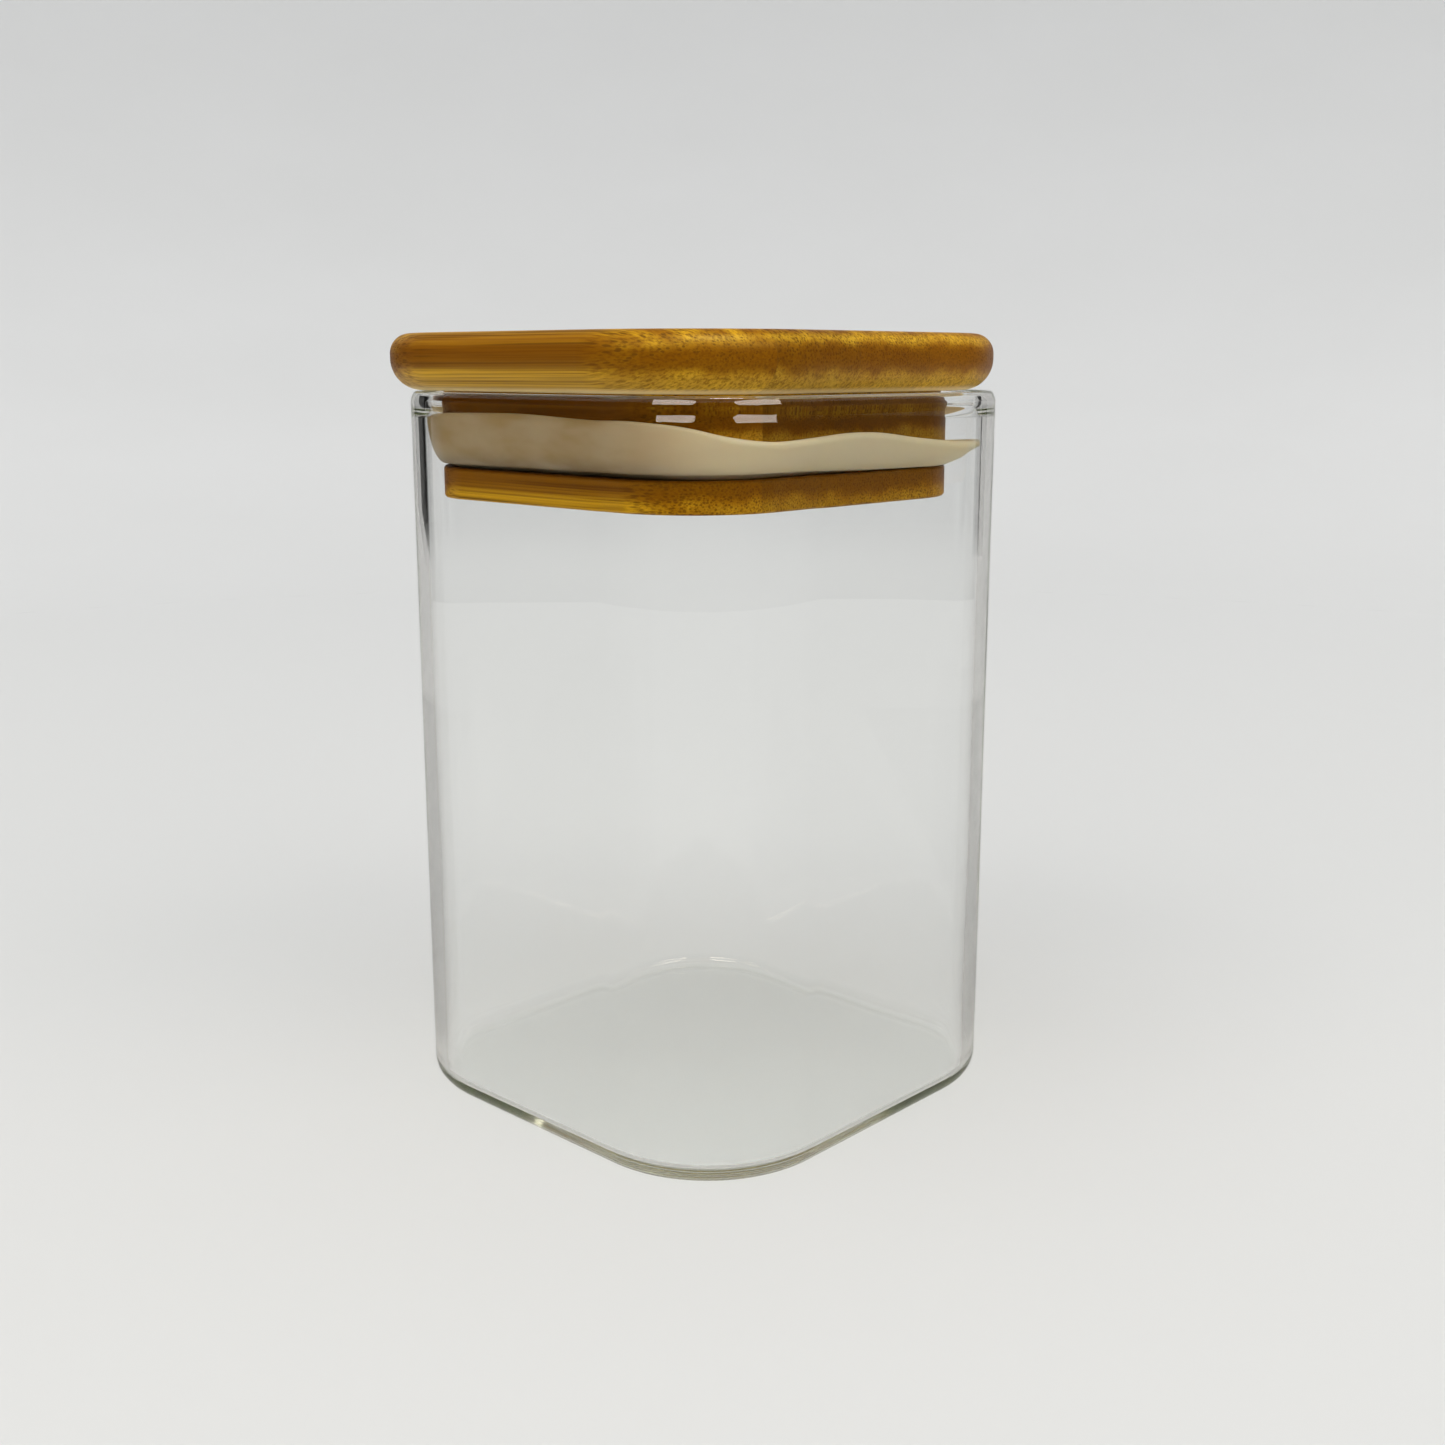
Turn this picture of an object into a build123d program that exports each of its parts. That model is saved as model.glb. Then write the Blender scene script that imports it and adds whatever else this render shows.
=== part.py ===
from build123d import *

import os

# Square glass storage jar with a push-in bamboo lid and a silicone lip seal.
# Millimetres, +Z up, origin at the centre of the jar's base, X along the grain of the lid's bamboo.
# The lid is milled from boards of edge-glued bamboo strips, and each strip is a solid of its own.

# ---- driving dimensions (mm) ----
JAR_SIDE = 100.0          # outside width of the square jar
JAR_HEIGHT = 145.8        # base to the top of the rim
JAR_CORNER = 28.0         # outside radius of the four upright corners
WALL = 2.6                # glass thickness of the walls
FLOOR = 3.0               # glass thickness of the base
BASE_EDGE = 4.7           # outside rounding where wall and base meet
FLOOR_EDGE = 3.6          # inside rounding where wall and floor meet
BEAD_HEIGHT = 5.0         # melted-back rim, thicker than the wall
BEAD_BULGE = 0.5          # how far the rim stands out of the wall
RIM_INNER_ROUND = 1.1     # rounding inside the rim's top
RIM_OUTER_ROUND = 1.3     # rounding outside the rim's top
BEAD_SHOULDER = 0.45      # rounding under the rim's bulge

LID_GAP = 0.2             # rim to plate when the lid is down
LID_SHIFT = (-1.55, -1.6)  # where the loose lid sits, off the jar's axis, as far as its soft seal gives
PLATE_OVERHANG = 1.5      # plate past the jar's wall, all round
PLATE_THICK = 11.0
PLATE_TOP_ROUND = 4.0
PLATE_UNDER_ROUND = 6.0

SEAL_GAP = 6.2            # plug to the glass, which the seal's lip bridges
PLUG_DEPTH = 21.0         # plate's underside to the plug's foot
PLUG_EDGE = 0.35          # broken edges of the plug
FLANGE_THICK = 6.0        # plug below the groove
GROOVE_HEIGHT = 4.5
GROOVE_DEPTH = 5.0
STRIPS_PER_BOARD = 5      # bamboo strips glued side by side in each board

SEAL_PLAY = 0.1           # seal's foot to the walls of its groove
LIP_TO_GLASS = 0.3        # seal's lip to the glass
LIP_RISE = 9.9            # height of the turned-up lip
LIP_WIDTH = 1.6           # lip thickness, measured level

# ---- sizes that follow ----
BORE_SIDE = JAR_SIDE - 2 * WALL
BORE_CORNER = JAR_CORNER - WALL
PLATE_UNDER = JAR_HEIGHT + LID_GAP
PLATE_SIDE = JAR_SIDE + 2 * PLATE_OVERHANG
PLATE_CORNER = JAR_CORNER + PLATE_OVERHANG
PLUG_SIDE = BORE_SIDE - 2 * SEAL_GAP
PLUG_CORNER = BORE_CORNER - SEAL_GAP
PLUG_FOOT = PLATE_UNDER - PLUG_DEPTH
GROOVE_LOW = PLUG_FOOT + FLANGE_THICK
GROOVE_HIGH = GROOVE_LOW + GROOVE_HEIGHT


def outline(side, corner, z, centre=(0.0, 0.0)):
    """A level square face with rounded corners."""
    return Pos(centre[0], centre[1], z) * RectangleRounded(side, side, corner)


def block(side, corner, low, high, centre=(0.0, 0.0)):
    """An upright block with that outline."""
    return extrude(outline(side, corner, low, centre), high - low)


def edges_at(shape, z):
    """The level edges of a shape at one height."""
    return shape.edges().filter_by_position(Axis.Z, z - 0.01, z + 0.01)


def grown(side, corner, by):
    """The side and corner radius of an outline moved out by a distance."""
    return side + 2 * by, corner + by


def reach(edge):
    """How far an edge's ends lie from the axis, measured square to the jar's sides."""
    return max(max(abs(end.X), abs(end.Y)) for end in edge.vertices())


def glass_jar():
    """Wall and base in one piece of glass, with a thicker melted rim."""
    bead_low = JAR_HEIGHT - BEAD_HEIGHT
    # the wall stops inside the bead, clear of the rim's rounding
    wall = block(JAR_SIDE, JAR_CORNER, 0, JAR_HEIGHT - BEAD_HEIGHT / 2)
    wall = fillet(edges_at(wall, 0), BASE_EDGE)
    bead = block(*grown(JAR_SIDE, JAR_CORNER, BEAD_BULGE), bead_low, JAR_HEIGHT)
    bead = fillet(edges_at(bead, bead_low), BEAD_SHOULDER)
    bead = fillet(edges_at(bead, JAR_HEIGHT), RIM_OUTER_ROUND)
    inside = block(BORE_SIDE, BORE_CORNER, FLOOR, JAR_HEIGHT + BEAD_HEIGHT)
    inside = fillet(edges_at(inside, FLOOR), FLOOR_EDGE)
    jar = wall + bead - inside
    mouth = [e for e in edges_at(jar, JAR_HEIGHT) if reach(e) < (BORE_SIDE + WALL) / 2]
    return fillet(mouth, RIM_INNER_ROUND)


def lid_plate():
    """The top board, with a bullnose edge all round."""
    plate_top = PLATE_UNDER + PLATE_THICK
    plate = block(PLATE_SIDE, PLATE_CORNER, PLATE_UNDER, plate_top, LID_SHIFT)
    plate = fillet(edges_at(plate, plate_top), PLATE_TOP_ROUND)
    return fillet(edges_at(plate, PLATE_UNDER), PLATE_UNDER_ROUND)


def plug_upper():
    """The board under the plate, which closes the groove from above."""
    board = block(PLUG_SIDE, PLUG_CORNER, GROOVE_HIGH, PLATE_UNDER, LID_SHIFT)
    return chamfer(edges_at(board, GROOVE_HIGH), PLUG_EDGE)


def plug_lower():
    """The board at the plug's foot: a flange below and a core that makes the groove's back wall."""
    flange = block(PLUG_SIDE, PLUG_CORNER, PLUG_FOOT, GROOVE_LOW, LID_SHIFT)
    flange = chamfer(edges_at(flange, PLUG_FOOT) + edges_at(flange, GROOVE_LOW), PLUG_EDGE)
    core = block(*grown(PLUG_SIDE, PLUG_CORNER, -GROOVE_DEPTH), GROOVE_LOW, GROOVE_HIGH, LID_SHIFT)
    return flange + core


def silicone_seal():
    """A foot that fills the groove and a lip that turns up against the glass."""
    low, high = GROOVE_LOW + SEAL_PLAY, GROOVE_HIGH - SEAL_PLAY
    foot = block(PLUG_SIDE, PLUG_CORNER, low, high, LID_SHIFT)
    core = block(*grown(PLUG_SIDE, PLUG_CORNER, SEAL_PLAY - GROOVE_DEPTH), low - 1, high + 1, LID_SHIFT)
    lip_top = low + LIP_RISE
    lip_outside = loft([
        outline(PLUG_SIDE, PLUG_CORNER, low, LID_SHIFT),
        outline(*grown(BORE_SIDE, BORE_CORNER, -LIP_TO_GLASS), lip_top),
    ])
    lip_inside = loft([
        outline(*grown(PLUG_SIDE, PLUG_CORNER, -LIP_WIDTH), low, LID_SHIFT),
        outline(*grown(BORE_SIDE, BORE_CORNER, -LIP_TO_GLASS - LIP_WIDTH), lip_top),
    ])
    return foot - core + (lip_outside - lip_inside)


def strips(board, width):
    """Cuts a board along X into its glued strips, from -Y to +Y."""
    pitch = width / STRIPS_PER_BOARD
    span = 2 * JAR_HEIGHT
    made = []
    for i in range(STRIPS_PER_BOARD):
        # the outer two cutters run past the board's edge
        low = -span if i == 0 else (i - STRIPS_PER_BOARD / 2) * pitch
        high = span if i == STRIPS_PER_BOARD - 1 else (i + 1 - STRIPS_PER_BOARD / 2) * pitch
        middle = (low + high) / 2 + LID_SHIFT[1]
        made.append(board & Pos(0, middle, PLATE_UNDER) * Box(span, high - low, span))
    return made


def all_nodes():
    """Every sub-part by the name of its node."""
    nodes = {"glass_jar": glass_jar(), "silicone_seal": silicone_seal()}
    boards = (
        ("lid_plate_strip", lid_plate(), PLATE_SIDE),
        ("plug_upper_strip", plug_upper(), PLUG_SIDE),
        ("plug_lower_strip", plug_lower(), PLUG_SIDE),
    )
    for name, board, width in boards:
        for number, strip in enumerate(strips(board, width), start=1):
            nodes[f"{name}_{number}"] = strip
    return nodes


os.makedirs("parts", exist_ok=True)
for node, shape in all_nodes().items():
    export_step(shape, f"parts/{node}.step")
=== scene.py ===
import math

import bpy
import numpy as np
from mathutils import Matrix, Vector, noise

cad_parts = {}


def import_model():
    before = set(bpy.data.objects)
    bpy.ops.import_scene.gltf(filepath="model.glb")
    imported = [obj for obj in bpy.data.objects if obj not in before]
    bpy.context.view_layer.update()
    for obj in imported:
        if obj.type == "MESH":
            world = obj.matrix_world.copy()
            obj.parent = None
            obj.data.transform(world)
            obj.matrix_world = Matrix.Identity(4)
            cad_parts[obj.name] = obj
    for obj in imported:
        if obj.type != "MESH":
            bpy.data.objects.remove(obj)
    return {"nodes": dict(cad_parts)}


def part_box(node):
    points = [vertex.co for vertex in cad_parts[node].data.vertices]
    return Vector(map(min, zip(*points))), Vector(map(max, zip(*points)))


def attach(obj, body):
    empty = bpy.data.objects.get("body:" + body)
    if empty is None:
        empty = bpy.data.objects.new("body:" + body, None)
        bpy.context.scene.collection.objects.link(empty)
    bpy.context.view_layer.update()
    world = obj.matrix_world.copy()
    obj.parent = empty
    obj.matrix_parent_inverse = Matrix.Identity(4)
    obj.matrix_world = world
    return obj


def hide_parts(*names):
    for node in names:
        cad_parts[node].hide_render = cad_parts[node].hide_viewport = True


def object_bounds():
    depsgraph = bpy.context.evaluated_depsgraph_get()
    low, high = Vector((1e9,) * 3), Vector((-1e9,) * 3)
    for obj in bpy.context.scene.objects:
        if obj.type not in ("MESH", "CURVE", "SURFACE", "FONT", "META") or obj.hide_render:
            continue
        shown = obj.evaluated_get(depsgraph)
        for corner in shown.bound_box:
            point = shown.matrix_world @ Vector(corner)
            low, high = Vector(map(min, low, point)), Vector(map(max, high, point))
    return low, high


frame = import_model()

CAD_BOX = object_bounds()
MM = 0.001

# ---- the object's sizes that no box gives, in millimetres, the same as in the CAD source ----
JAR_CORNER = 28.0
WALL = 2.6
FLOOR = 3.0
BASE_EDGE = 4.7
BEAD_BULGE = 0.5  # how far the CAD jar's rim stands out of its wall, and so the jar's box too
PLUG_CORNER = 19.2

# ---- sizes that only the visual model has, in millimetres ----
FLOOR_EDGE = 1.9
BASE_PUSH_UP = 0.8
# the rim, going up the outside and going up the inside: (length, turn towards the jar's axis in degrees)
RIM_OUTSIDE = ((0.6, 20), (1.0, 5), (1.0, 65))
RIM_INSIDE = ((0.5, 12.5), (1.5, 3), (0.7, -8), (0.9, -0.5), (0.85, -52), (2.0, -45))
RIM_STEP = 0.12
# unevenness of the glass: (depth, width and height of the waves in metres, seed)
WAVES_OUTSIDE = ((0.010, 0.011, 0.09, 3.0), (0.06, 0.045, 0.06, 7.0))
WAVES_INSIDE = ((0.018, 0.014, 0.08, 11.0), (0.10, 0.04, 0.05, 19.0))
WAVES_FLOOR = (0.12, 0.03, 0.05, 23.0)
WAVE_FADE = 12
GROOVE_DEPTH = 4.9
FOOT_PLAY = 0.15
# the foot's underside: (how far in from the plug's side, share of the lip's lift at its root)
FOOT_UNDER = ((3.6, 0.0), (2.4, 0.0), (2.0, 0.33), (1.8, 0.78), (1.2, 0.98), (0.5, 1.0))
LIP_THICK = 1.4
LIP_TO_GLASS = 0.1
LIP_REACH = 7.6
# the lip's rise for its reach where it is shallow, and how much more it is where it is steep
LIP_SHALLOW = 0.45
LIP_STEEPER = 0.9
# how far the lip turns in degrees, how much more where it is steep, and its straight share where shallow
LIP_TURN = 28
LIP_TURN_STEEP = 60
LIP_STRAIGHT = 0.85
# (place in quarter turns from the +X +Y corner, height of the lip's top above the foot's underside)
LIP_TOPS = (
    (0.00, 5.1), (0.15, 4.9), (0.30, 4.4), (0.45, 3.8), (0.65, 4.6), (1.00, 6.8), (1.15, 7.3),
    (1.50, 8.8), (1.90, 9.2), (2.15, 10.4), (2.45, 10.8), (2.70, 11.0), (2.95, 10.3), (3.08, 10.1),
    (3.18, 9.0), (3.26, 7.4), (3.34, 6.6), (3.43, 7.0), (3.55, 7.6), (3.66, 7.5), (3.82, 6.2),
)
# (place, how far the lip has lifted off the flange at its root)
ROOT_LIFTS = ((0.0, 0.15), (0.4, 0.2), (2.0, 0.6), (2.9, 0.9), (3.5, 0.8), (3.8, 0.3))

# ---- how finely the meshes are divided ----
CORNER_STEPS = 34
SIDE_STEPS = 44
WALL_RINGS = (70, 60)  # outside and inside
BASE_RINGS = 26
ROUNDING_STEPS = 12
LIP_STEPS = 22
TIP_STEPS = 6

# ---- the camera: level distance from the jar's axis, height, and where it points ----
CAMERA_AZIMUTH = math.radians(43.89)
CAMERA_DISTANCE = 345.8 * MM
CAMERA_HEIGHT = 151.5 * MM
CAMERA_PITCH = math.radians(12.2)
CAMERA_PAN = math.radians(0.62)
CAMERA_LENS = 41.57
CAMERA_SENSOR = 36.0

# ---- the studio, in metres; azimuths are from the camera's side, in degrees ----
FLOOR_REACH = 0.80
WALL_BEND = 2.4
WALL_TOP = 3.0
LIT_WALL = 115
BOARD_DISTANCE = 0.78
BOARD_TOP = 0.62
BACK_BOARD_TOP = 0.42
BOARD_GAP = (0.16, 0.26)  # where the side boards stop and start again
FRONT_BOARD_END = 78
SIDE_BOARD_END = 118
BOARD_END_FADE = 20
VEIL = [(0.07, MM), (0.45, MM)]
VEIL_SHARE = 0.14
AIR_LIGHT = 0.34
CEILING_LIGHT = 0.76
WINDOW_TINT = (1.0, 0.90, 0.78)
FILL_TINT = (1.0, 0.93, 0.85)
BOUNCES = 160


# ======== meshes ========

def square_ring(arc_steps, side_steps):
    """Unit core points and outward directions round a square with rounded corners."""
    core, out = [], []
    for quarter in range(4):
        turn = quarter * math.pi / 2
        here = np.array([math.cos(turn) - math.sin(turn), math.sin(turn) + math.cos(turn)])
        following = np.array([-here[1], here[0]])
        for step in range(arc_steps):
            angle = turn + math.pi / 2 * step / arc_steps
            core.append(here)
            out.append([math.cos(angle), math.sin(angle)])
        for step in range(side_steps):
            core.append(here + (following - here) * step / side_steps)
            out.append([math.cos(turn + math.pi / 2), math.sin(turn + math.pi / 2)])
    return np.array(core), np.array(out)


def arc(centre, radius, start, end, steps):
    """Points (offset, height) along an arc, angles in degrees."""
    angles = np.radians(np.linspace(start, end, steps + 1))
    return [(centre[0] + radius * math.cos(a), centre[1] + radius * math.sin(a)) for a in angles]


def bent_line(place, heading, bends):
    """Points (offset, height) along a line that turns left steadily by each bend: (length, degrees)."""
    points = [place]
    for length, turn in bends:
        steps = math.ceil(length / RIM_STEP)
        for step in range(steps):
            way = math.radians(heading + turn * (step + 0.5) / steps)
            place = (place[0] + length / steps * math.cos(way), place[1] + length / steps * math.sin(way))
            points.append(place)
        heading += turn
    return points


def linked(name, data):
    made = bpy.data.objects.new(name, data)
    bpy.context.scene.collection.objects.link(made)
    return made


def smooth_mesh(name, points, faces):
    mesh = bpy.data.meshes.new(name)
    mesh.from_pydata(points, [], faces)
    mesh.shade_smooth()
    mesh.update()
    return linked(name, mesh)


def skin(name, rings, closed):
    """A quad mesh over rings of points: closed into a tube, or capped at both ends."""
    count = rings.shape[1]
    points = rings.reshape(-1, 3).tolist()
    rows = len(rings)
    faces = []
    for row in range(rows if closed else rows - 1):
        after = (row + 1) % rows
        for i in range(count):
            j = (i + 1) % count
            faces.append((row * count + i, row * count + j, after * count + j, after * count + i))
    if not closed:
        for row, turned in ((0, True), (rows - 1, False)):
            hub = len(points)
            points.append(rings[row].mean(0).tolist())
            for i in range(count):
                a, b = row * count + i, row * count + (i + 1) % count
                faces.append((hub, b, a) if turned else (hub, a, b))
    return smooth_mesh(name, points, faces)


def ripple(points, across, along, seed):
    """Smooth unevenness at each point, from about -1 to 1; sizes in metres."""
    shift = Vector((seed, 2.3 * seed, -1.7 * seed))
    return np.array([
        noise.noise(Vector((x / across, y / across, z / along)) + shift) for x, y, z in points
    ])


def glass_jar():
    """Clear jar: slightly uneven walls, a rim melted round, and a base pushed up in the middle."""
    low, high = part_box("glass_jar")
    half = (high.x - low.x) / 2 / MM - BEAD_BULGE
    top = high.z / MM
    core, out = square_ring(CORNER_STEPS, SIDE_STEPS)

    def wall_ring(offset, height):
        level = core * (half - JAR_CORNER) + out * (JAR_CORNER + offset)
        return np.column_stack([level, np.full(len(level), height)]) * MM

    def uneven_ring(offset, height, ground, waves):
        """A wall's ring with waves in it, which fade out towards the ground and the rim."""
        ring = wall_ring(offset, height)
        fade = np.clip((ring[:, 2] - ground * MM) / (WAVE_FADE * MM), 0, 1)
        fade *= np.clip((top * MM - ring[:, 2]) / (WAVE_FADE * MM), 0, 1) ** 2
        depth = sum(size * ripple(ring, across, along, seed) for size, across, along, seed in waves)
        ring[:, :2] += out * (depth * fade * MM)[:, None]
        return ring

    def dome(share):
        """Height of the pushed-up base at a share of the way from the middle to its edge."""
        return BASE_PUSH_UP * (1 - share ** 2) ** 2

    outside = bent_line((0.0, 0.0), 90, RIM_OUTSIDE)
    inside = bent_line((-WALL, 0.0), 90, RIM_INSIDE)
    outside_foot, inside_foot = top - outside[-1][1], top - inside[-1][1]
    outer = arc((-BASE_EDGE, BASE_EDGE), BASE_EDGE, -90, 0, ROUNDING_STEPS)
    outer += [(0.0, z) for z in np.linspace(BASE_EDGE, outside_foot, WALL_RINGS[0])[1:]]
    outer += [(offset, outside_foot + rise) for offset, rise in outside[1:]]
    rim_top = np.linspace(outside[-1][0], inside[-1][0], 5)[1:-1]
    inner = [(offset, inside_foot + rise) for offset, rise in inside[::-1]]
    inner += [(-WALL, z) for z in np.linspace(inside_foot, FLOOR + FLOOR_EDGE, WALL_RINGS[1])[1:]]
    inner += arc((-WALL - FLOOR_EDGE, FLOOR + FLOOR_EDGE), FLOOR_EDGE, 0, -90, ROUNDING_STEPS)[1:]

    shares = np.linspace(0.04, 1, BASE_RINGS)[:-1]
    rings = []
    for share in shares:
        ring = wall_ring(-BASE_EDGE, 0.0)
        ring[:, :2] *= share
        ring[:, 2] = dome(share) * MM
        rings.append(ring)
    rings += [uneven_ring(offset, height, 0, WAVES_OUTSIDE) for offset, height in outer]
    rings += [wall_ring(offset, top) for offset in rim_top]
    rings += [uneven_ring(offset, height, FLOOR, WAVES_INSIDE) for offset, height in inner]
    size, across, along, seed = WAVES_FLOOR
    for share in shares[::-1]:
        ring = wall_ring(-WALL - FLOOR_EDGE, FLOOR)
        ring[:, :2] *= share
        ring[:, 2] += (dome(share) + size * ripple(ring, across, along, seed) * (1 - share)) * MM
        rings.append(ring)
    made = skin("jar_glass", np.array(rings), closed=False)
    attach(made, "jar")
    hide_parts("glass_jar")
    return made


def around(places, count):
    """Smooth values round the ring from a few (place, value) pairs; places are in quarter turns."""
    at, values = np.array(places, float).T
    at = np.concatenate([at - 4, at, at + 4])
    values = np.tile(values, 3)
    slope = np.gradient(values, at)
    here = np.arange(count) * 4 / count
    i = np.searchsorted(at, here, side="right") - 1
    span = at[i + 1] - at[i]
    t = (here - at[i]) / span
    ease = t * t * (3 - 2 * t)
    curl = t * (1 - t) * span
    return values[i] + (values[i + 1] - values[i]) * ease + curl * (slope[i] * (1 - t) - slope[i + 1] * t)


def lip_sides(across, rise, root):
    """The lip's lower and upper sides, as (level, height) arrays from its root to its tip.

    It runs almost straight where it rises little for its reach, and curls up where it is steep."""
    steep = np.clip((rise / across - LIP_SHALLOW) / LIP_STEEPER, 0, 1)
    turn = np.radians(LIP_TURN + LIP_TURN_STEEP * steep)
    straight = LIP_STRAIGHT * (1 - steep)
    lower, upper = [], []
    for step in range(LIP_STEPS + 1):
        t = step / LIP_STEPS
        level = across * np.sin(t * turn) / np.sin(turn)
        curled = (1 - np.cos(t * turn)) / (1 - np.cos(turn))
        height = rise * (straight * np.sin(t * turn) / np.sin(turn) + (1 - straight) * curled)
        slope_level = across * np.cos(t * turn) / np.sin(turn)
        slope_curled = np.sin(t * turn) / (1 - np.cos(turn))
        slope_height = rise * (straight * np.cos(t * turn) / np.sin(turn) + (1 - straight) * slope_curled)
        size = np.hypot(slope_level, slope_height)
        side_level, side_height = slope_height / size * LIP_THICK / 2, slope_level / size * LIP_THICK / 2
        lower.append((level + side_level, root + height - side_height))
        upper.append((level - side_level, root + height + side_height))
    return lower, upper


def half_round(low, high):
    """Points between two (level, height) arrays, on the half circle that bulges past them."""
    centre = [(a + b) / 2 for a, b in zip(low, high)]
    arm = [(a - b) / 2 for a, b in zip(low, high)]
    forward = (-arm[1], arm[0])
    points = []
    for step in range(1, TIP_STEPS):
        cos, sin = math.cos(math.pi * step / TIP_STEPS), math.sin(math.pi * step / TIP_STEPS)
        points.append(tuple(c + a * cos + f * sin for c, a, f in zip(centre, arm, forward)))
    return points


def silicone_seal():
    """The seal: a foot in the plug's groove and a wavy lip turned up against the glass."""
    jar_low, jar_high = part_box("glass_jar")
    plug_low, plug_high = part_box("plug_lower_strip_3")
    plug_front, plug_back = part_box("plug_lower_strip_1")[0].y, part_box("plug_lower_strip_5")[1].y
    shift = np.array([(plug_low.x + plug_high.x) / 2, (plug_front + plug_back) / 2]) / MM
    plug_half = (plug_high.x - plug_low.x) / 2 / MM
    bore_half = (jar_high.x - jar_low.x) / 2 / MM - BEAD_BULGE - WALL
    core, out = square_ring(CORNER_STEPS, SIDE_STEPS)
    plug = core * (plug_half - PLUG_CORNER) + out * PLUG_CORNER + shift
    bore = core * (bore_half - (JAR_CORNER - WALL)) + out * (JAR_CORNER - WALL)
    reach = np.linalg.norm(bore - plug, axis=1)
    away = (bore - plug) / reach[:, None]
    count = len(core)

    foot_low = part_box("silicone_seal")[0].z / MM
    foot_high = plug_high.z / MM - FOOT_PLAY
    lift = around(ROOT_LIFTS, count)
    # the higher the lip, the nearer the rim's swell, so it stays a little further from the wall there
    high = np.clip((around(LIP_TOPS, count) - 8.8) / 1.5, 0, 1)
    # the lip is too short to meet the glass at the corner that the lid has slid away from
    across = np.minimum(reach - LIP_TO_GLASS - 0.4 * high - LIP_THICK / 2, LIP_REACH)
    rise = around(LIP_TOPS, count) - lift - LIP_THICK / 2 - LIP_THICK * 0.3
    lower, upper = lip_sides(across, rise, foot_low + lift + LIP_THICK / 2)
    flat = np.zeros(count)
    foot_back = [(flat - GROOVE_DEPTH, flat + z) for z in np.linspace(foot_high, foot_low, 4)]
    foot_under = [(flat - x, foot_low + lift * share) for x, share in FOOT_UNDER]
    throat = foot_low + lift + LIP_THICK + 0.3
    foot_front = [(flat, throat + (foot_high - throat) * share) for share in np.linspace(0, 1, 5)]
    foot_top = [(flat - x, flat + foot_high) for x in (1.6, 3.2)]
    lip = lower + half_round(lower[-1], upper[-1]) + upper[::-1]
    rings = []
    for level, height in foot_back + foot_under + lip + foot_front + foot_top:
        inward = np.minimum(level, 0)[:, None] * out
        outward = np.maximum(level, 0)[:, None] * away
        rings.append(np.column_stack([plug + inward + outward, height]) * MM)
    made = skin("seal_ring", np.array(rings), closed=True)
    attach(made, "lid")
    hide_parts("silicone_seal")
    return made


# ======== materials ========

class Shader:
    """A material's nodes, made one call each."""

    def __init__(self, name):
        self.material = bpy.data.materials.new(name)
        self.material.use_nodes = True
        self.tree = self.material.node_tree
        self.tree.nodes.clear()
        self.output = self.tree.nodes.new("ShaderNodeOutputMaterial")

    def add(self, kind, inputs=None, **settings):
        made = self.tree.nodes.new(kind)
        for key, value in settings.items():
            setattr(made, key, value)
        for key, value in (inputs or {}).items():
            self.put(made.inputs[key], value)
        return made

    def put(self, socket, value):
        if isinstance(value, bpy.types.NodeSocket):
            self.tree.links.new(value, socket)
        else:
            socket.default_value = value

    def math(self, operation, a, b=0.0, c=0.0):
        return self.add("ShaderNodeMath", {0: a, 1: b, 2: c}, operation=operation).outputs[0]

    def fit(self, value, low, high, to_low=0.0, to_high=1.0, smooth=True):
        kind = "SMOOTHSTEP" if smooth else "LINEAR"
        inputs = {0: value, 1: low, 2: high, 3: to_low, 4: to_high}
        return self.add("ShaderNodeMapRange", inputs, interpolation_type=kind).outputs[0]

    def mix(self, share, a, b, blend="MIX"):
        made = self.add("ShaderNodeMix", {0: share}, data_type="RGBA", blend_type=blend)
        self.put(made.inputs[6], a)
        self.put(made.inputs[7], b)
        return made.outputs[2]

    def noise(self, vector, scale, detail=2.0, roughness=0.5):
        inputs = {"Vector": vector, "Scale": scale, "Detail": detail, "Roughness": roughness}
        return self.add("ShaderNodeTexNoise", inputs).outputs[0]

    def vector(self, operation, a, b=(0, 0, 0), output="Vector"):
        return self.add("ShaderNodeVectorMath", {0: a, 1: b}, operation=operation).outputs[output]

    def apart(self, vector):
        """The X, Y and Z of a vector."""
        return self.add("ShaderNodeSeparateXYZ", {0: vector}).outputs

    def placed(self, scale=(1, 1, 1), offset=(0, 0, 0)):
        """Object coordinates, in metres times scale, plus an offset."""
        where = self.add("ShaderNodeTexCoord").outputs["Object"]
        made = self.add("ShaderNodeMapping", {"Vector": where, "Location": offset, "Scale": scale})
        return made.outputs[0]

    def bump(self, height, strength, distance):
        made = self.add("ShaderNodeBump", {"Height": height, "Strength": strength, "Distance": distance})
        return made.outputs[0]

    def either(self, share, a, b):
        """Shader a, with its share of shader b over it."""
        return self.add("ShaderNodeMixShader", {0: share, 1: a.outputs[0], 2: b.outputs[0]})

    def mirrored(self):
        """1 for rays that something glossy has mirrored, and 0 for the others."""
        return self.math("GREATER_THAN", self.add("ShaderNodeLightPath").outputs["Glossy Depth"], 0.5)

    def finished(self, surface):
        self.put(self.output.inputs["Surface"], surface.outputs[0])
        return self.material


def colour(red, green, blue):
    return (red, green, blue, 1.0)


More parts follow.
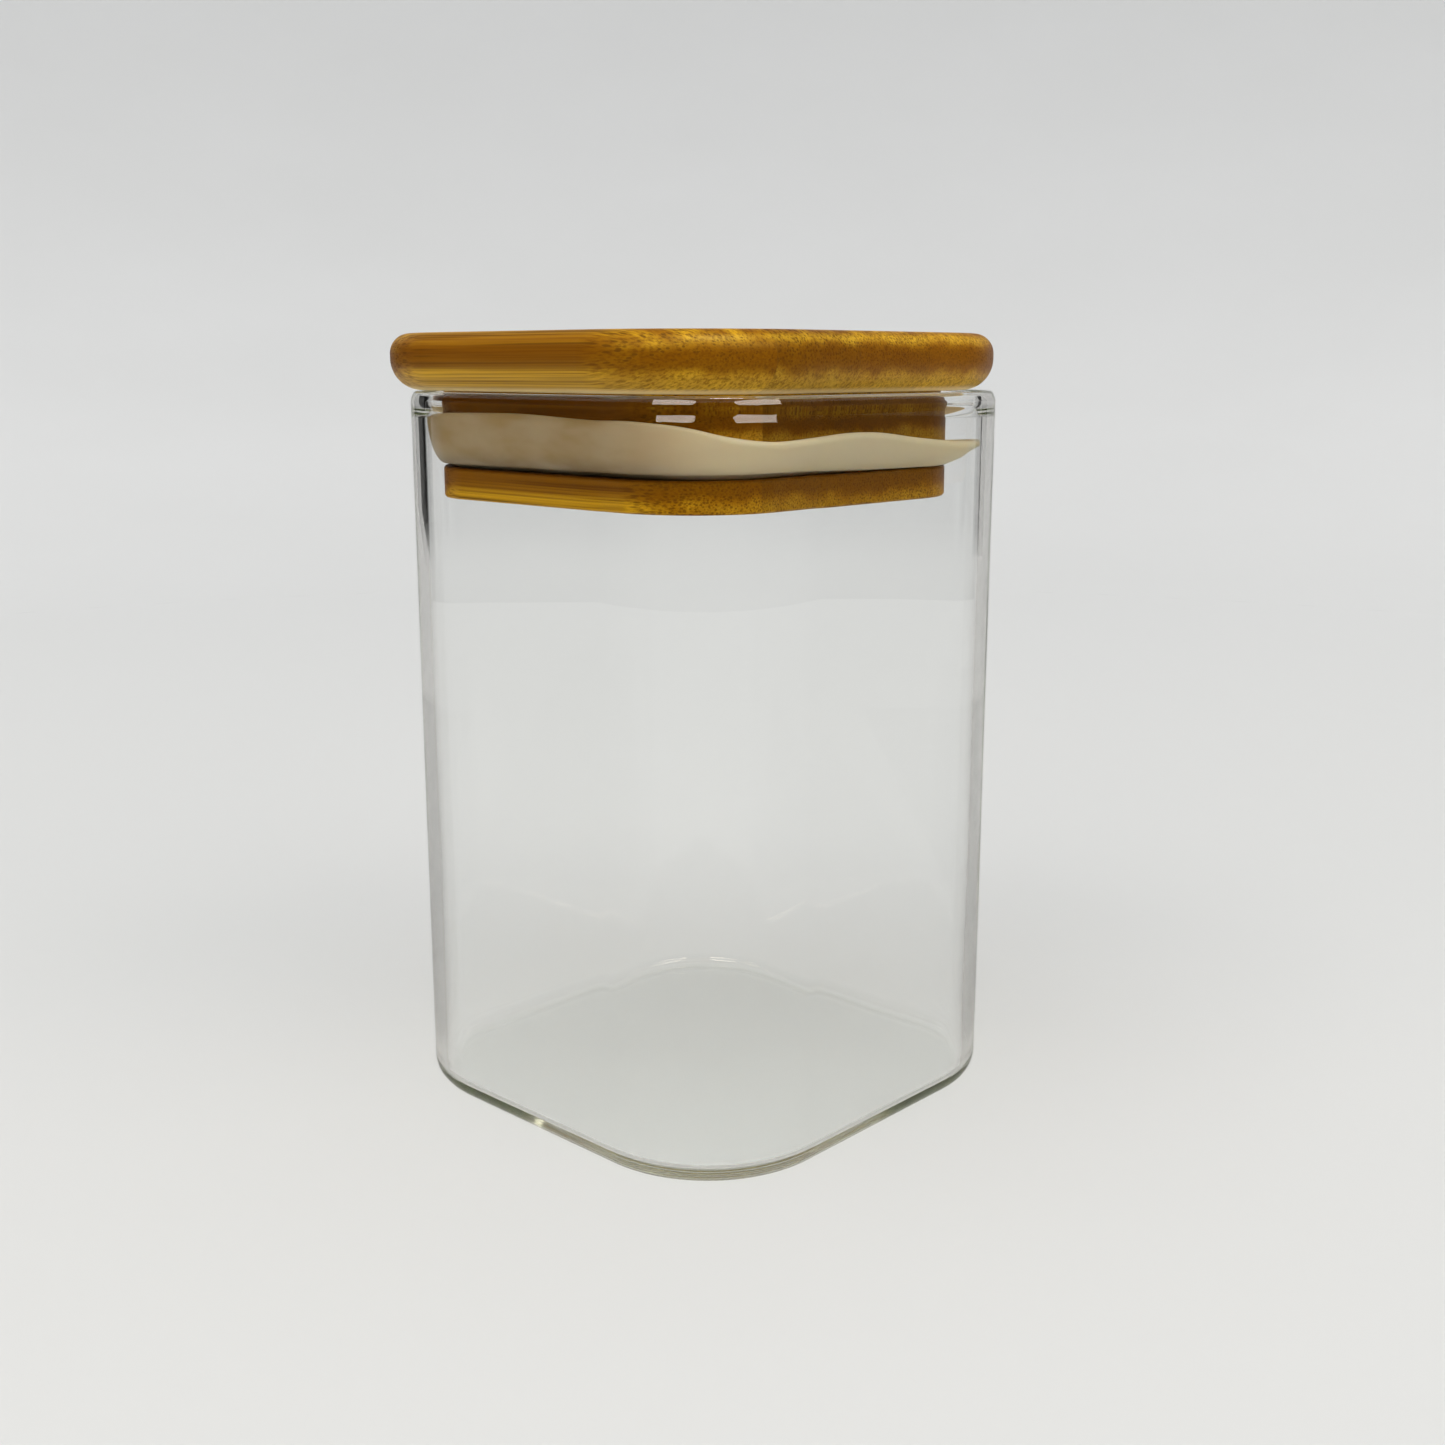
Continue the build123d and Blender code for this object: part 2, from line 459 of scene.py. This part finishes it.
# bamboo's colours
LIGHT_WOOD = colour(0.68, 0.37, 0.010)
MIDDLE_WOOD = colour(0.33, 0.130, 0.001)
DARK_WOOD = colour(0.135, 0.036, 0.0)
EVEN_END_GRAIN = colour(0.46, 0.215, 0.005)
# the skin side's golden end grain, partly the bamboo's own colour and partly painted light on the lit edge
SKIN_GOLD_AND_LIGHT_END_GRAIN = colour(0.86, 0.53, 0.030)
PITH_WOOD = colour(0.70, 0.43, 0.040)
# the darker middle of the board's height: partly the bamboo's own colour, partly painted shade
CORE_AND_SHADE_WOOD = colour(0.20, 0.064, 0.0)
# painted light: a pale colour for the pith side's edge, standing in for light bounced up from the glass rim
RIM_BOUNCE_WOOD = colour(0.90, 0.70, 0.36)
BUNDLE = colour(0.095, 0.028, 0.0)
GLUE = colour(0.10, 0.042, 0.008)


def bamboo(name, seed, tone, joints, depths, skin_gold_and_light, rim_bounce_light):
    """One strip of bamboo: long fibre bundles along X, crowded towards the skin side, in a paler ground.

    joints are the Y of the strip's glued faces, and depths the Z of its pith side and its skin side. The
    next argument says how far the end grain goes golden at the skin side, partly painted light on that lit
    edge, and the last how strongly the pith side's edge is painted pale, as painted light bounced up from
    the glass rim."""
    s = Shader(name)
    offset = (0.37 * seed, 13.7 * seed, 7.9 * seed)
    across, up = s.apart(s.placed())[1:]

    # the fibres wander a little, so the ground that they run in is bent before it is stretched along X
    bend = s.placed((9, 30, 30), offset)
    wander = s.add("ShaderNodeTexNoise", {"Vector": bend, "Scale": 1.0, "Detail": 1.0}).outputs["Color"]
    wander = s.vector("MULTIPLY", s.vector("SUBTRACT", wander, (0.5, 0.5, 0.5)), (0.0, 1.6, 1.6))
    grain = s.vector("ADD", s.placed((4, 1 / MM, 1 / MM), offset), wander)

    # 0 on the pith side and 1 on the skin side, and uneven between them
    depth = s.fit(up, *depths, smooth=False)
    # painted light: the pith side's edge is painted pale, as light bounced up from the glass rim onto the
    # plate's underside
    rim_bounce = s.fit(depth, 0.10, 0.02, 0.0, rim_bounce_light)
    patch = s.noise(grain, 0.16, 2.0)
    depth = s.math("MULTIPLY_ADD", patch, 0.35, s.math("ADD", depth, -0.17))

    def bundles(spacing, small, large):
        """Round bundles a spacing apart in millimetres, small and large as shares of it."""
        cells = s.add("ShaderNodeTexVoronoi", {"Vector": grain, "Scale": 1 / spacing, "Randomness": 0.8})
        each = s.add("ShaderNodeSeparateColor", {0: cells.outputs["Color"]}).outputs[0]
        size = s.fit(each, 0.0, 1.0, small, large, smooth=False)
        edge = s.math("SUBTRACT", size, cells.outputs["Distance"])
        return s.fit(edge, -0.07, 0.12)

    dense = s.math("MULTIPLY", bundles(0.56, 0.26, 0.41), s.fit(depth, 0.30, 0.60, 0.35, 1.0))
    sparse = s.math("MULTIPLY", bundles(1.3, 0.16, 0.32), s.fit(depth, 0.9, 0.2))
    dots = s.math("MAXIMUM", dense, s.math("MULTIPLY", sparse, 0.6))

    # the end grain is evener than the wood along the fibres
    facing = s.apart(s.add("ShaderNodeTexCoord").outputs["Normal"])[0]
    end_grain = s.fit(s.math("ABSOLUTE", facing), 0.45, 0.90)

    broad = s.noise(grain, 0.30, 3.0, 0.55)
    fine = s.noise(grain, 2.6, 3.0, 0.6)
    ground = s.mix(s.fit(broad, 0.38, 0.72, 0.0, 0.9), MIDDLE_WOOD, LIGHT_WOOD)
    even = s.mix(s.fit(broad, 0.30, 0.75), MIDDLE_WOOD, EVEN_END_GRAIN)
    # the end grain goes golden towards the skin side: partly the bamboo's own colour, partly painted light
    # on that lit edge
    even = s.mix(s.fit(depth, 0.74, 0.98, 0.0, skin_gold_and_light), even, SKIN_GOLD_AND_LIGHT_END_GRAIN)
    ground = s.mix(end_grain, ground, even)
    ground = s.mix(s.fit(depth, 0.05, 0.50, 0.65, 0.0), ground, PITH_WOOD)
    # a darker band through the middle of the board's height: partly the bamboo's own, partly painted shade
    # where the rounded side faces level into the dark side of the room
    core = s.math("MULTIPLY", s.fit(depth, 0.26, 0.44), s.fit(depth, 0.86, 0.66))
    ground = s.mix(s.math("MULTIPLY", core, 0.84), ground, CORE_AND_SHADE_WOOD)
    ground = s.mix(s.fit(fine, 0.40, 0.70, 0.0, 0.70), ground, DARK_WOOD)
    wood = s.mix(s.math("MULTIPLY", dots, 0.68), ground, BUNDLE)
    wood = s.mix(rim_bounce, wood, RIM_BOUNCE_WOOD)
    wood = s.mix(1.0, wood, tone, "MULTIPLY")

    # a thin dark line of glue at each joint
    gaps = [s.math("ABSOLUTE", s.math("SUBTRACT", across, joint)) for joint in joints]
    near = gaps[0] if len(gaps) == 1 else s.math("MINIMUM", *gaps)
    wood = s.mix(s.fit(near, 0.04 * MM, 0.18 * MM, 0.30, 0.0), wood, GLUE)

    rough = s.math("MULTIPLY_ADD", fine, 0.16, s.math("MULTIPLY_ADD", dots, 0.10, 0.34))
    relief = s.math("SUBTRACT", s.math("MULTIPLY", fine, 0.5), s.math("MULTIPLY", dots, 0.6))
    surface = s.add("ShaderNodeBsdfPrincipled", {
        "Base Color": wood, "Roughness": rough, "Normal": s.bump(relief, 0.35, 0.06 * MM),
        "IOR": 1.45, "Specular IOR Level": 0.42, "Specular Tint": colour(1.0, 0.80, 0.16),
    })
    return s.finished(surface)


def clear_glass():
    """Clear glass that lets the lamps' light through, and goes green only where it is deep."""
    s = Shader("clear_glass")
    body = s.add("ShaderNodeBsdfPrincipled", {
        "Base Color": colour(0.997, 1.0, 0.998), "Roughness": 0.0, "IOR": 1.48, "Transmission Weight": 1.0,
    })
    unbent = s.add("ShaderNodeBsdfTransparent", {"Color": colour(0.99, 0.995, 0.992)})
    ray = s.add("ShaderNodeLightPath").outputs
    surface = s.either(ray["Is Shadow Ray"], body, unbent)
    surface = s.either(ray["Is Diffuse Ray"], surface, unbent)
    depth = s.add("ShaderNodeVolumeAbsorption", {"Color": colour(0.80, 0.89, 0.68), "Density": 3.2})
    s.put(s.output.inputs["Volume"], depth.outputs[0])
    return s.finished(surface)


def milky_silicone():
    """Soft, milky, see-through rubber with a faint mould bloom. Its colour is painted darker towards the -X
    -Y corner and lower down there, as painted shade, and lighter towards the +X +Y side, as painted light.
    """
    s = Shader("milky_silicone")
    x, y, z = s.apart(s.placed())
    # painted light and shade: the seal is coloured darker towards the -X -Y corner and lighter towards the
    # +X +Y side, for how light falls on its lip
    painted_light_side = s.fit(s.math("ADD", x, y), -30 * MM, 8 * MM)
    cloud = s.noise(s.placed((60, 60, 160)), 1.0, 3.0)
    dust = s.noise(s.placed((2600, 2600, 2600)), 1.0, 2.0)
    tint = s.mix(painted_light_side, colour(0.48, 0.325, 0.135), colour(0.91, 0.76, 0.49))
    # painted shade: lower down, on its darker side, the seal is painted darker still, for the shadow at its
    # root
    low = s.math("MULTIPLY", s.fit(z, 135.5 * MM, 131.5 * MM), s.fit(painted_light_side, 0.8, 0.2, 0.0, 0.9))
    tint = s.mix(low, tint, colour(0.30, 0.21, 0.115))
    tint = s.mix(s.fit(cloud, 0.35, 0.65, 0.0, 0.35), tint, colour(0.80, 0.68, 0.47))
    surface = s.add("ShaderNodeBsdfPrincipled", {
        "Base Color": tint, "Roughness": s.fit(dust, 0.3, 0.7, 0.34, 0.48),
        "IOR": 1.41, "Transmission Weight": 0.35, "Subsurface Weight": 0.6,
        "Subsurface Radius": (1.0, 0.8, 0.6), "Subsurface Scale": 0.003,
        "Normal": s.bump(dust, 0.15, 0.03 * MM),
    })
    return s.finished(surface)


# the boards: name, skin side up, how far the skin side's end grain goes golden (partly painted light),
# how strongly the pith side's edge is painted pale as light bounced up from the glass rim, and the tone of
# each strip from the -Y side
BOARDS = (
    ("lid_plate_strip", True, 1.0, 0.75, (0.99, 0.91, 0.98, 1.10, 1.09)),
    ("plug_upper_strip", True, 0.3, 0.0, (1.19, 0.85, 0.80, 0.77, 0.71)),
    ("plug_lower_strip", False, 0.2, 0.0, (1.00, 0.86, 0.88, 0.94, 1.04)),
)


def finish_bamboo():
    """Gives each strip of the lid its own bamboo."""
    seed = 1
    for board, skin_up, skin_gold_and_light, rim_bounce_light, tones in BOARDS:
        for number, tone in enumerate(tones, start=1):
            node = f"{board}_{number}"
            low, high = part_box(node)
            joints = [y for y, outer in ((low.y, number == 1), (high.y, number == len(tones))) if not outer]
            depths = (low.z, high.z) if skin_up else (high.z, low.z)
            green, blue = (0.985, 0.95) if number % 2 else (1.0, 1.05)
            tint = colour(tone, tone * green, tone * blue)
            made = bamboo(f"bamboo_{node}", seed, tint, joints, depths, skin_gold_and_light, rim_bounce_light)
            strip = frame["nodes"][node]
            strip.data.materials.clear()
            strip.data.materials.append(made)
            seed += 1


# ======== studio ========

def level(azimuth):
    """The level direction from the object towards a camera or lamp at that azimuth."""
    return Vector((math.sin(azimuth), -math.cos(azimuth), 0))


def camera():
    made = linked("camera", bpy.data.cameras.new("camera"))
    made.data.lens = CAMERA_LENS
    made.data.sensor_width = CAMERA_SENSOR
    made.data.clip_start = 0.01
    made.location = level(CAMERA_AZIMUTH) * CAMERA_DISTANCE + Vector((0, 0, CAMERA_HEIGHT))
    made.rotation_euler = (math.pi / 2 - CAMERA_PITCH, 0, CAMERA_AZIMUTH - CAMERA_PAN)
    bpy.context.scene.camera = made


def lamp(name, kind, azimuth, elevation, distance=0.0):
    """A lamp that faces the jar's middle, in degrees and metres."""
    rise = math.radians(elevation)
    back = level(CAMERA_AZIMUTH + math.radians(azimuth)) * math.cos(rise) + Vector((0, 0, math.sin(rise)))
    made = linked(name, bpy.data.lights.new(name, kind))
    made.location = Vector((0, 0, CAD_BOX[1].z / 2)) + back * distance
    made.rotation_mode = "QUATERNION"
    made.rotation_quaternion = back.to_track_quat("Z", "Y")
    return made


def softbox(name, azimuth, elevation, distance, size, power, tint=(1, 1, 1)):
    made = lamp(name, "AREA", azimuth, elevation, distance)
    made.data.shape = "RECTANGLE"
    made.data.size, made.data.size_y = size
    made.data.energy = power
    made.data.color = tint
    return made


def ceiling():
    """Broad even light from almost straight above, as strong at the wall as over the object."""
    made = lamp("ceiling", "SUN", 0, 82)
    made.data.energy = CEILING_LIGHT
    made.data.angle = math.radians(100)
    return made


def lights():
    """Windows that are mirrored and light nothing matt, and broad lamps that light and aren't mirrored."""
    fills = [ceiling()]
    windows = (
        softbox("left_window", -29, 42, 2.4, (1.15, 0.44), 15, WINDOW_TINT),
        softbox("right_window", 43.5, 40, 2.4, (1.3, 0.46), 17, WINDOW_TINT),
        softbox("front_top", 24, 72, 2.2, (0.7, 0.5), 26),
    )
    for window in windows:
        window.visible_diffuse = False
    fills += [
        softbox("left_fill", -42, 40, 2.4, (1.8, 1.6), 17, FILL_TINT),
        softbox("right_fill", 50, 40, 2.4, (1.8, 1.6), 20, FILL_TINT),
        softbox("top_fill", -20, 70, 2.2, (2.2, 1.6), 14),
    ]
    for fill in fills:
        fill.visible_glossy = False
        fill.visible_transmission = False


def turned(name, profile, start, end, finish):
    """A studio sheet: a profile of (distance, height) turned from one azimuth to another."""
    count = round((end - start) / 3) + 1
    turns = [CAMERA_AZIMUTH + math.radians(a) for a in np.linspace(start, end, count)]
    points = [tuple(level(a) * r + Vector((0, 0, z))) for r, z in profile for a in turns]
    faces = [
        (row * count + i, row * count + i + 1, (row + 1) * count + i + 1, (row + 1) * count + i)
        for row in range(len(profile) - 1) for i in range(count - 1)
    ]
    made = smooth_mesh(name, points, faces)
    made.data.materials.append(finish)
    return made


def studio():
    """A floor and a wall all round in one gentle curve. The wall on the camera's side lights nothing."""
    white, ahead = paper("studio_paper"), paper("studio_paper_ahead", mirrored=False)
    wall = arc((FLOOR_REACH, WALL_BEND), WALL_BEND, -90, 0, 36)
    wall += [(FLOOR_REACH + WALL_BEND, z) for z in np.linspace(WALL_BEND, WALL_TOP, 6)[1:]]
    turned("paper_floor", [(0.0, 0.0), (FLOOR_REACH, 0.0)], -180, 180, white)
    turned("paper_behind", wall, LIT_WALL, 360 - LIT_WALL, white)
    front = turned("paper_in_front", wall, -LIT_WALL, LIT_WALL, ahead)
    front.visible_diffuse = False
    front.visible_glossy = False
    front.visible_shadow = False


def only_mirrored(s, tint, share):
    """Finishes a shader that covers its share of what lies behind it, for rays that glass has mirrored."""
    black = s.add("ShaderNodeBsdfDiffuse", {"Color": tint})
    unseen = s.add("ShaderNodeBsdfTransparent")
    return s.finished(s.either(s.math("MULTIPLY", s.mirrored(), share), unseen, black))


def black_paper(name, ends=False):
    """Black paper that only rays mirrored by glass meet. It fades out at its foot, and can at its ends."""
    s = Shader(name)
    grit = s.noise(s.placed((40, 40, 40)), 1.0, 2.0)
    tint = s.mix(grit, colour(0.004, 0.004, 0.004), colour(0.010, 0.009, 0.008))
    share = s.fit(s.apart(s.placed())[2], 0.01, 0.055)
    if ends:
        flat = s.vector("NORMALIZE", s.vector("MULTIPLY", s.placed(), (1, 1, 0)))
        towards = s.vector("DOT_PRODUCT", flat, tuple(level(CAMERA_AZIMUTH)), "Value")
        gone = math.cos(math.radians(SIDE_BOARD_END))
        whole = math.cos(math.radians(SIDE_BOARD_END - BOARD_END_FADE))
        share = s.math("MULTIPLY", share, s.fit(towards, gone, whole))
    return only_mirrored(s, tint, share)


def grey_veil():
    """A thin grey veil that only rays mirrored by glass meet."""
    s = Shader("grey_veil")
    weave = s.noise(s.placed((300, 300, 300)), 1.0, 2.0)
    tint = s.mix(weave, colour(0.010, 0.010, 0.010), colour(0.030, 0.030, 0.028))
    return only_mirrored(s, tint, VEIL_SHARE)


def dark_piece(name, profile, start, end, finish, slant=0.0):
    """A dark board or veil from one azimuth to another. Its first edge drops by slant on the way."""
    made = turned(name, profile, start, end, finish)
    wide = len(made.data.vertices) // 2
    for number, corner in enumerate(made.data.vertices[:wide]):
        corner.co.z -= slant * number / (wide - 1)
    made.visible_camera = False
    made.visible_diffuse = False
    made.visible_shadow = False


def dark_surroundings():
    """What the glass mirrors instead of the white set: black boards in front, at both sides and behind."""
    def board(foot, top):
        return [(BOARD_DISTANCE, foot), (BOARD_DISTANCE, top)]

    behind, before = black_paper("black_paper_behind"), black_paper("black_paper_before", ends=True)
    dark_piece("board_behind_left", board(0.06, BACK_BOARD_TOP), 219, 244, behind, slant=0.06)
    dark_piece("board_behind_right", board(0.03, BACK_BOARD_TOP), 117, 128, behind)
    dark_piece("board_in_front", board(0.0, BOARD_TOP), -FRONT_BOARD_END, FRONT_BOARD_END, before)
    sides = (("left", -SIDE_BOARD_END, -FRONT_BOARD_END), ("right", FRONT_BOARD_END, SIDE_BOARD_END))
    for side, start, end in sides:
        dark_piece(f"board_{side}_low", board(0.0, BOARD_GAP[0]), start, end, before)
        dark_piece(f"board_{side}_high", board(BOARD_GAP[1], BOARD_TOP), start, end, before)
    veil = grey_veil()
    dark_piece("veil_left", VEIL, 205, 268, veil)
    dark_piece("veil_right", VEIL, 92, 140, veil)


def paper(name, mirrored=True):
    """White paper. Where it isn't mirrored, rays that glass has mirrored go through all but its foot."""
    s = Shader(name)
    mottle = s.noise(s.placed((3, 3, 3)), 1.0, 3.0)
    tooth = s.noise(s.placed((900, 900, 900)), 1.0, 2.0)
    away = s.vector("LENGTH", s.placed(), output="Value")
    # painted shade and light: the paper is darker near the object and lighter further off, which sets how
    # bright the floor and the wall look
    white = s.mix(s.fit(away, 0.15, 1.5), colour(0.67, 0.683, 0.682), colour(0.83, 0.842, 0.845))
    tint = s.mix(s.math("MULTIPLY", mottle, 0.35), white, colour(0.70, 0.71, 0.70))
    surface = s.add("ShaderNodeBsdfPrincipled", {
        "Base Color": tint, "Roughness": 0.85, "Specular IOR Level": 0.2,
        "Normal": s.bump(tooth, 0.08, 0.1 * MM),
    })
    if not mirrored:
        above_foot = s.fit(s.apart(s.placed())[2], 0.05, 0.25)
        unseen = s.add("ShaderNodeBsdfTransparent")
        surface = s.either(s.math("MULTIPLY", s.mirrored(), above_foot), surface, unseen)
    return s.finished(surface)


def world():
    """The air's light, which falls on what is matt. Glass never mirrors it."""
    made = bpy.data.worlds.new("studio_air")
    made.use_nodes = True
    back = made.node_tree.nodes["Background"]
    back.inputs["Color"].default_value = colour(0.95, 0.97, 1.0)
    ray = made.node_tree.nodes.new("ShaderNodeLightPath")
    dim = made.node_tree.nodes.new("ShaderNodeMapRange")
    dim.inputs["To Min"].default_value = AIR_LIGHT
    dim.inputs["To Max"].default_value = 0.0
    made.node_tree.links.new(ray.outputs["Glossy Depth"], dim.inputs["Value"])
    made.node_tree.links.new(dim.outputs["Result"], back.inputs["Strength"])
    bpy.context.scene.world = made


camera()
world()
studio()
lights()
dark_surroundings()
glass_jar().data.materials.append(clear_glass())
silicone_seal().data.materials.append(milky_silicone())
finish_bamboo()
bpy.context.scene.view_settings.view_transform = "Standard"
bpy.context.scene.cycles.max_bounces = BOUNCES
bpy.context.scene.cycles.transmission_bounces = BOUNCES
bpy.context.scene.cycles.glossy_bounces = BOUNCES
